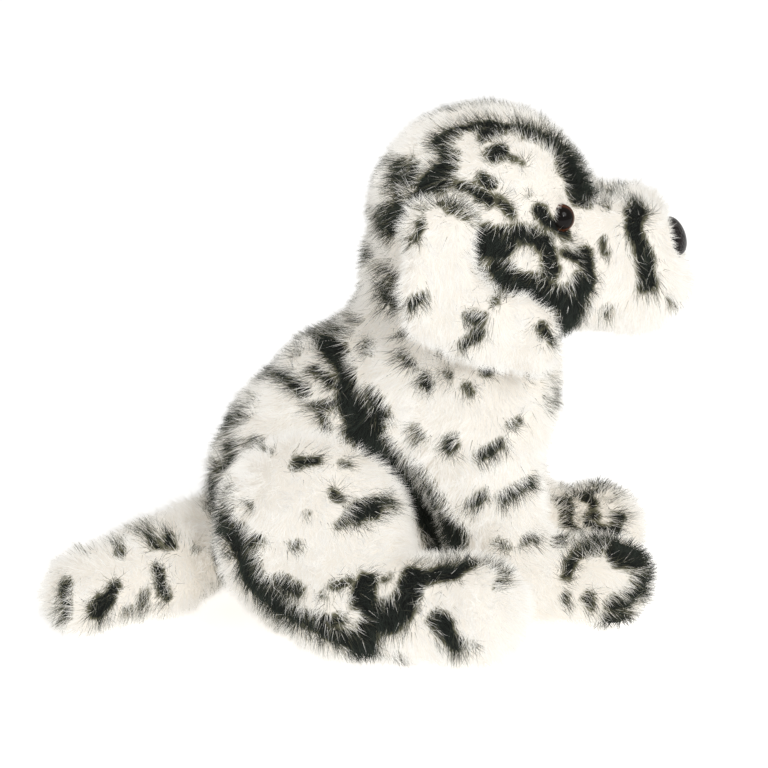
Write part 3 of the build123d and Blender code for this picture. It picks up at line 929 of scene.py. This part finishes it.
def paw_lie(points):
    """Down the leg, then forward over the paw."""
    forward = np.clip((60 - points[:, 2]) / 40, 0, 1)[:, None]
    return (1 - forward) * np.array((0, 0.1, -1.0)) + forward * np.array((0, -1.0, -0.25))


def torso_piece():
    look = {
        "marks": TORSO_MARKS_AND_SHADE, "pattern": 1, "hang": (1, -3),
        "length": 10, "lean": 47, "lie": lies(0, 0.35, -1),
        "hidden_in": [(head_field, 22), (hind_leg_field, 16), (front_leg_field, 16)],
    }
    skin, piles = furry_piece("torso", torso_field, (-80, -125, -4), (80, 100, 250), look, 100)
    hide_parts("torso_side_left", "torso_side_right", "belly_panel", "torso_stuffing", "bean_pouch",
                "bean_pellets", "back_stitches", "neck_stuffing")
    return skin, piles, "torso"


def head_piece():
    look = {
        "marks": HEAD_MARKS_AND_SHADE, "pattern": 2, "wrap": 0.0,
        "length": 8, "lean": 44, "lie": head_lie,
        "clipped": [(EYE, EYE_SHORT, 0.45), (EYE * (-1, 1, 1), EYE_SHORT, 0.45), (NOSE, NOSE_SHORT, 0.2)],
        "hidden_in": [(torso_field, 20)],
    }
    skin, piles = furry_piece("head", head_field, (-85, -185, 130), (85, 15, 285), look, 200)
    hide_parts("crown_gusset", "chin_panel", "head_side_left", "head_side_right", "head_stuffing",
                "eye_left_washer", "eye_right_washer", "nose_washer")
    return skin, piles, "head"


def ear_pieces(side, sign):
    low_x, high_x = sorted((sign * 35, sign * 95))
    low, high = (low_x, -115, 135), (high_x, -5, 260)
    look = {
        "marks": EAR_MARKS_AND_SHADE, "pattern": 3, "hang": (0, -3.5),
        "length": 8, "lean": 45, "lie": lies(0, -0.1, -1),
    }
    outer, outer_piles = furry_piece("ear_" + side, ear_field, low, high, look, 300)
    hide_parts("ear_outer_" + side)
    look = dict(look, length=5, density=0.8)
    lining, lining_piles = furry_piece("ear_inside_" + side, ear_lining_field, low, high, look, 320)
    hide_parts("ear_lining_" + side)
    return [(outer, outer_piles, "fur"), (lining, lining_piles, "ear_lining")]


def limb_nodes(limb, side):
    """The CAD pieces that one leg's skin and fur stand for."""
    return [f"{limb}_{part}_{side}" for part in ("outer_panel", "inner_panel", "stuffing")]


def front_leg_piece(side, sign):
    low_x, high_x = sorted((sign * 1, sign * 75))
    low, high = (low_x, -160, -4), (high_x, -10, 175)
    look = {
        "marks": FRONT_LEG_MARKS_AND_SHADE, "far_marks": FAR_FRONT_LEG_MARKS, "far_wrap": -1.0,
        "pattern": 4, "hang": (0, -2),
        "length": 8.5, "lean": 45, "lie": paw_lie,
        "hidden_in": [(torso_field, 16)],
    }
    skin, piles = furry_piece("front_leg_" + side, front_leg_field, low, high, look, 400)
    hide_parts(*limb_nodes("front_leg", side))
    return skin, piles, "front_leg_" + side


def hind_leg_piece(side, sign):
    low_x, high_x = sorted((sign * 4, sign * 125))
    low, high = (low_x, -90, -4), (high_x, 95, 130)
    look = {
        "marks": HIND_LEG_MARKS, "pattern": 5, "hang": (-1, -3.5),
        "length": 9, "lean": 47, "lie": lies(0, -0.4, -1),
        "hidden_in": [(torso_field, 16)],
    }
    skin, piles = furry_piece("hind_leg_" + side, hind_leg_field, low, high, look, 500)
    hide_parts(*limb_nodes("hind_leg", side))
    return skin, piles, "hind_leg_" + side


def tail_piece():
    look = {
        "marks": TAIL_MARKS_AND_SHADE, "pattern": 6, "hang": (3, -1.5),
        "length": 9.5, "lean": 45, "lie": lies(-0.6, 0.8, -0.2),
        "hidden_in": [(torso_field, 16)],
    }
    skin, piles = furry_piece("tail", tail_field, (-95, 45, -4), (35, 185, 75), look, 600)
    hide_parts("tail_upper_panel", "tail_lower_panel", "tail_stuffing")
    return skin, piles, "tail"


def dress(node_name, material):
    """Gives a CAD piece that stays in view its finished material."""
    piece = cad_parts[node_name]
    piece.data.materials.clear()
    piece.data.materials.append(material)
    for face in piece.data.polygons:
        face.use_smooth = True


def attach(skin, piles, body, finish="fur"):
    """Makes a skin and its fur move with a body. The finish, the material slot that they stand for, is not
    used.
    """
    for piece in (skin, *piles):
        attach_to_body(piece, body)


for make in (torso_piece, head_piece, tail_piece):
    attach(*make())
for side, sign in (("left", 1), ("right", -1)):
    attach(*front_leg_piece(side, sign))
    attach(*hind_leg_piece(side, sign))
    for skin, piles, finish in ear_pieces(side, sign):
        attach(skin, piles, "ear_" + side, finish)
    dress("eye_" + side, eye_material("eye_" + side, sign))
dress("nose", nose_material())
dress("mouth_thread", thread_material())


# ---------------------------------------------------------------- studio

def floor():
    """White paper that glows a little, so that it stays white all round the dog."""
    bpy.ops.mesh.primitive_plane_add(size=8)
    plane = bpy.context.object
    plane.name = "studio_floor"
    material, shader, _, _ = new_material("studio_paper")
    shader.inputs["Base Color"].default_value = (0.93, 0.93, 0.93, 1)
    shader.inputs["Roughness"].default_value = 0.9
    shader.inputs["Emission Color"].default_value = (1, 1, 1, 1)
    shader.inputs["Emission Strength"].default_value = 0.45
    plane.data.materials.append(material)


def aim(piece, target):
    """Turns a lamp or camera to face the target."""
    away = piece.location - target
    piece.rotation_euler = away.to_track_quat("Z", "Y").to_euler()


def soft_light(name, place, target, size, power):
    data = bpy.data.lights.new(name, "AREA")
    data.shape = "DISK"
    data.size = size
    data.energy = power
    lamp = bpy.data.objects.new(name, data)
    bpy.context.collection.objects.link(lamp)
    lamp.location = place
    aim(lamp, target)


def camera(target):
    lens = bpy.data.cameras.new("camera")
    lens.sensor_width = SENSOR_WIDTH
    lens.lens = SENSOR_WIDTH * CAMERA_DISTANCE / CAMERA_FRAME
    lens.clip_end = 50
    viewer = bpy.data.objects.new("camera", lens)
    bpy.context.collection.objects.link(viewer)
    lean = math.radians(CAMERA_ELEVATION)
    viewer.location = target + CAMERA_DISTANCE * Vector((-math.cos(lean), 0, math.sin(lean)))
    aim(viewer, target)
    bpy.context.scene.camera = viewer


def studio():
    """Paper floor, camera, lamps and a bright surround."""
    target = Vector(CAMERA_TARGET)
    floor()
    camera(target)
    for name, place, size, power in LAMPS:
        soft_light(name, place, target, size, power)
    world = bpy.data.worlds.new("studio")
    world.use_nodes = True
    background = world.node_tree.nodes["Background"]
    background.inputs["Color"].default_value = (1, 0.985, 0.96, 1)
    background.inputs["Strength"].default_value = 0.53
    bpy.context.scene.world = world
    bpy.context.scene.view_settings.view_transform = "Standard"


studio()
